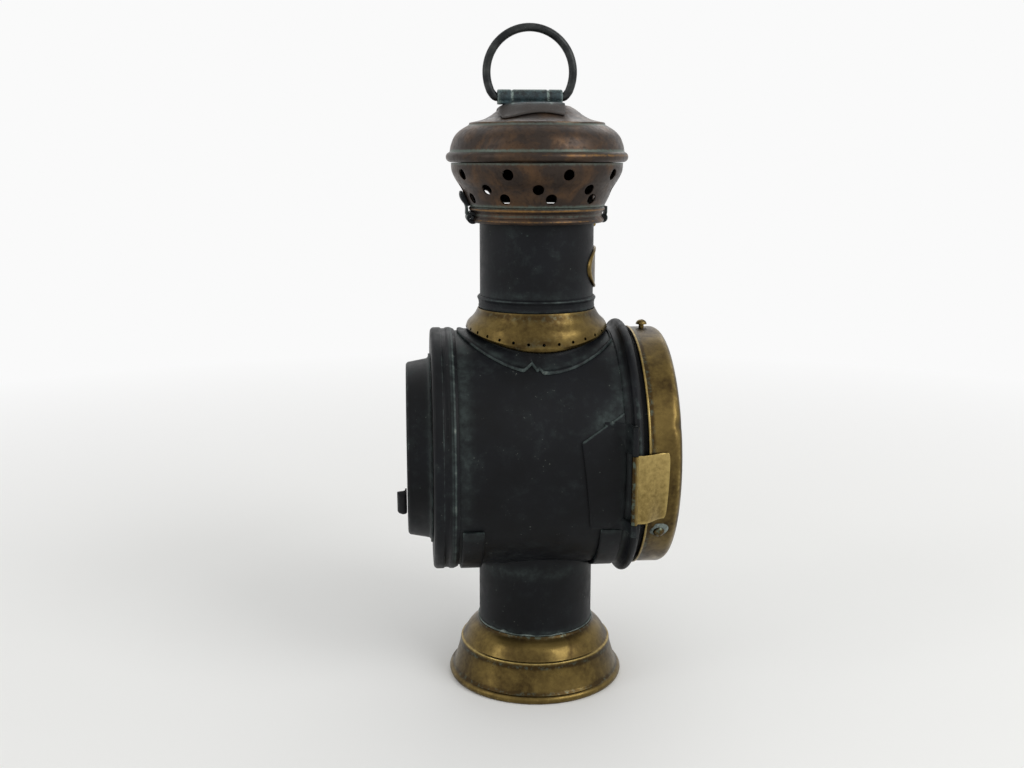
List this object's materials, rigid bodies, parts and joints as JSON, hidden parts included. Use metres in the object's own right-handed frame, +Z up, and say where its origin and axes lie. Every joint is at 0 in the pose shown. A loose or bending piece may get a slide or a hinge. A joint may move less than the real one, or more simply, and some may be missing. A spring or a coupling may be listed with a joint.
{
  "type": "carriage lamp",
  "caption": "Oil-burning carriage lamp with a round lens door, rear door, pierced hinged cap with ring handle, brass foot and slide-out oil font.",
  "frame": {"origin": "on the chimney's upright axis, on the floor under the foot", "axes": "+Z up along the chimney, +X along the drum towards the lens, +Y to the far side, away from the lens hinge"},
  "size_m": [0.1422, 0.1364, 0.3308],
  "materials": {
    "black_paint": "worn gloss black paint on tinplate",
    "aged_brass": "tarnished spun brass",
    "aged_copper": "brown patinated copper",
    "verdigris": "dull metal with green patina",
    "dark_steel": "dark bare steel wire",
    "bare_tin": "dull bare tinplate",
    "clear_glass": "clear pressed lens",
    "cotton": "flat woven wick"
  },
  "bodies": {
    "lamp_body": {"drum_shell": "black_paint", "front_ring": "black_paint", "rear_rim": "black_paint", "saddle_flange": "black_paint", "brass_collar": "aged_brass", "chimney_tube": "black_paint", "chimney_bead_ring": "verdigris", "oval_plate": "aged_brass", "lower_tube": "black_paint", "brass_foot": "aged_brass", "tube_strap_rear": "black_paint", "tube_strap_front": "black_paint", "cap_hinge_lug_near": "verdigris", "cap_hinge_lug_far": "verdigris", "cap_hinge_pin": "dark_steel", "cap_catch_stud": "aged_brass", "lens_hinge_patch": "black_paint", "lens_hinge_pin": "dark_steel", "lens_catch_spring": "aged_brass", "rear_hinge_lug_lower": "black_paint", "rear_hinge_lug_upper": "black_paint", "rear_hinge_pin": "dark_steel"},
    "cap": {"cap_basket": "aged_copper", "cap_neck_band": "aged_copper", "cap_crown": "aged_copper", "handle_bracket": "verdigris", "cap_hinge_leaf": "verdigris", "cap_catch": "verdigris"},
    "ring_handle": {"ring_handle": "dark_steel"},
    "lens_door": {"lens_bezel": "aged_brass", "lens_glass": "clear_glass", "lens_retaining_ring": "black_paint", "bezel_screw_top": "aged_brass", "bezel_screw_near": "aged_brass", "bezel_screw_far": "aged_brass", "lens_hinge_leaf": "aged_brass", "lens_catch_stud": "aged_brass"},
    "rear_door": {"rear_door_cup": "black_paint", "reflector": "bare_tin", "rear_door_tab": "black_paint", "rear_hinge_leaf": "black_paint"},
    "font": {"oil_font": "bare_tin", "font_base": "aged_brass", "burner_base": "aged_brass", "wick_tube": "aged_brass", "burner_cone": "aged_brass", "burner_gallery": "aged_brass"},
    "wick": {"wick": "cotton"},
    "wick_winder": {"wick_winder": "aged_brass"}
  },
  "joints": [
    {"name": "cap_hinge", "type": "hinge", "parent": "lamp_body", "child": "cap", "pos_m": [-0.0321, 0, 0.2386], "axis": [0, -1, 0], "range_deg": [0, 100]},
    {"name": "handle_pivot", "type": "hinge", "parent": "cap", "child": "ring_handle", "pos_m": [-0.0036, 0, 0.2962], "axis": [1, 0, 0], "range_deg": [-100, 100]},
    {"name": "lens_door_hinge", "type": "hinge", "parent": "lamp_body", "child": "lens_door", "pos_m": [0.0389, -0.0666, 0.1162], "axis": [0, 0, -1], "range_deg": [0, 110]},
    {"name": "rear_door_hinge", "type": "hinge", "parent": "lamp_body", "child": "rear_door", "pos_m": [-0.0563, 0.0508, 0.1221], "axis": [0, 0, -1], "range_deg": [0, 110]},
    {"name": "font_slide", "type": "slide", "parent": "lamp_body", "child": "font", "axis": [0, 0, -1], "range_m": [0, 0.11]},
    {"name": "winder_turn", "type": "hinge", "parent": "font", "child": "wick_winder", "pos_m": [0, 0.0022, 0.0825], "axis": [1, 0, 0], "range_deg": [-150, 150]},
    {"name": "wick_slide", "type": "slide", "parent": "font", "child": "wick", "axis": [0, 0, 1], "range_m": [-0.003, 0.003]}
  ],
  "couplings": [
    {"joint": "winder_turn", "follows": "wick_slide", "rad_per_m": -833.33}
  ]
}
